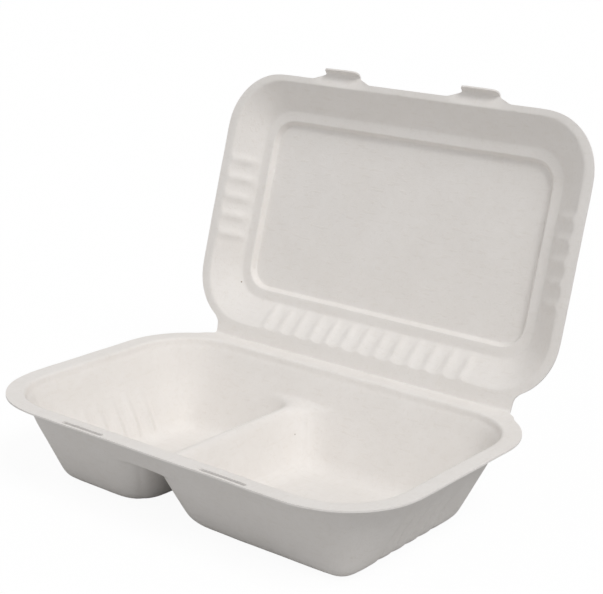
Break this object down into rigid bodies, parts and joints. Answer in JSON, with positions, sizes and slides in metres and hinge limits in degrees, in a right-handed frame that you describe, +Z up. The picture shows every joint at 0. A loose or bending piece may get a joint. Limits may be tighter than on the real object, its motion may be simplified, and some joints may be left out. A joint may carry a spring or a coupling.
{
  "type": "bagasse meal box",
  "caption": "Moulded pulp meal box with a divided tray and a shallow lid on one long fold. Tabs on the lid's front edge hook into slots in the tray's rim.",
  "frame": {"origin": "on the table under the middle of the tray's rim, on the floor of the large compartment", "axes": "+X along the fold towards the large compartment, +Y from the tray's front to the fold, +Z up"},
  "size_m": [0.248, 0.2081, 0.2021],
  "materials": {
    "tray_pulp": "matte pressed bagasse pulp",
    "lid_pulp": "matte pressed bagasse pulp"
  },
  "bodies": {
    "tray": {"tray": "tray_pulp"},
    "lid": {"lid": "lid_pulp"}
  },
  "joints": [
    {"name": "lid_fold", "type": "hinge", "parent": "tray", "child": "lid", "pos_m": [0, 0.08045, 0.04855], "axis": [1, 0, 0], "range_deg": [-74.7, 105.3]}
  ]
}
